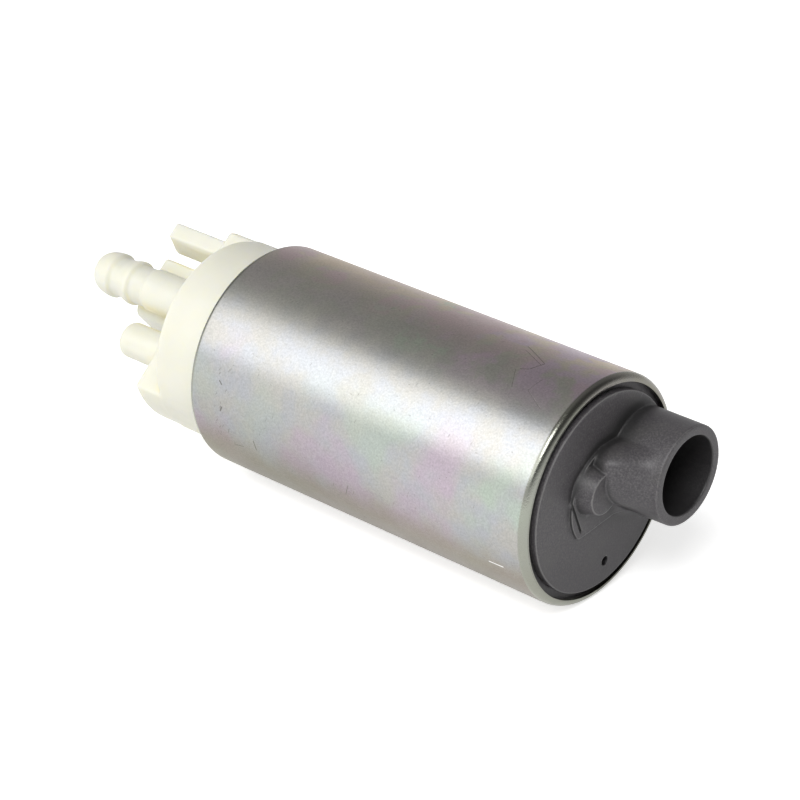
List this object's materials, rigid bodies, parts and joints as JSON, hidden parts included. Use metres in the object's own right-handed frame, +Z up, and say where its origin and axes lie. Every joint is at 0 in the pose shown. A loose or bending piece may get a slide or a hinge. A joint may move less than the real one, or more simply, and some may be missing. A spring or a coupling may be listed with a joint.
{
  "type": "electric fuel pump",
  "caption": "In-tank electric fuel pump with a zinc plated steel can, black offset suction neck, cream outlet cap with barbed nozzle, stub and connector shroud.",
  "frame": {"origin": "middle of the pump's length and width, on the ground under its side as it lies", "axes": "+X along the shaft towards the black suction neck, +Y across, +Z up"},
  "size_m": [0.1182, 0.038, 0.0379],
  "materials": {
    "zinc_steel": "satin zinc plate with a faint yellow and lilac sheen",
    "black_plastic": "matte moulded",
    "cream_plastic": "satin translucent moulded",
    "ceramic": "ground",
    "brown_plastic": "moulded phenolic",
    "cast_aluminium": "die cast",
    "bronze": "sintered",
    "ground_steel": "ground",
    "lamination": "stamped",
    "insulator": "moulded",
    "copper": "enamelled",
    "nylon": "moulded",
    "carbon": "pressed carbon",
    "soft_iron": "rolled",
    "ferrite": "sintered",
    "spring_steel": "drawn",
    "rubber": "moulded",
    "tin": "tinned",
    "brass": "turned"
  },
  "bodies": {
    "pump": {"housing": "zinc_steel", "inlet_cover": "black_plastic", "outlet_cap": "cream_plastic", "thrust_pad": "ceramic", "pump_body": "cast_aluminium", "lower_bush": "bronze", "upper_bush": "bronze", "flux_ring": "soft_iron", "magnet_north": "ferrite", "magnet_south": "ferrite", "magnet_clip_1": "spring_steel", "magnet_clip_2": "spring_steel", "outlet_seal": "rubber", "brush_spring_1": "spring_steel", "brush_spring_2": "spring_steel", "brush_lead_1": "copper", "brush_lead_2": "copper", "choke_core_1": "ferrite", "choke_core_2": "ferrite", "choke_coil_1": "copper", "choke_coil_2": "copper", "terminal_1": "tin", "terminal_2": "tin", "valve_seat": "bronze", "check_spring": "spring_steel", "valve_retainer": "nylon", "relief_seat": "brass", "relief_spring": "spring_steel"},
    "rotor": {"motor_shaft": "ground_steel", "impeller": "brown_plastic", "armature_core": "lamination", "insulator_inlet": "insulator", "insulator_outlet": "insulator", "armature_coil_1": "copper", "armature_coil_2": "copper", "armature_coil_3": "copper", "armature_coil_4": "copper", "armature_coil_5": "copper", "armature_coil_6": "copper", "thrust_washer": "nylon", "commutator": "carbon"},
    "check_poppet": {"check_valve": "rubber"},
    "relief_poppet": {"relief_ball": "ground_steel"},
    "carbon_brush_1": {"brush_1": "carbon"},
    "carbon_brush_2": {"brush_2": "carbon"}
  },
  "joints": [
    {"name": "rotor_spin", "type": "hinge", "parent": "pump", "child": "rotor", "pos_m": [0, 0, 0.01895], "axis": [1, 0, 0], "continuous": true},
    {"name": "check_valve_slide", "type": "slide", "parent": "pump", "child": "check_poppet", "axis": [-1, 0, 0], "range_m": [0, 0.0022], "stiffness_N_per_m": 150, "springref_m": -0.002, "deforming": ["check_spring"]},
    {"name": "relief_valve_slide", "type": "slide", "parent": "pump", "child": "relief_poppet", "axis": [-1, 0, 0], "range_m": [0, 0.001], "stiffness_N_per_m": 600, "springref_m": -0.002, "deforming": ["relief_spring"]},
    {"name": "brush_1_slide", "type": "slide", "parent": "pump", "child": "carbon_brush_1", "axis": [-1, 0, 0], "range_m": [0, 0.0015], "stiffness_N_per_m": 150, "springref_m": -0.003, "deforming": ["brush_spring_1", "brush_lead_1"]},
    {"name": "brush_2_slide", "type": "slide", "parent": "pump", "child": "carbon_brush_2", "axis": [-1, 0, 0], "range_m": [0, 0.0015], "stiffness_N_per_m": 150, "springref_m": -0.003, "deforming": ["brush_spring_2", "brush_lead_2"]}
  ]
}
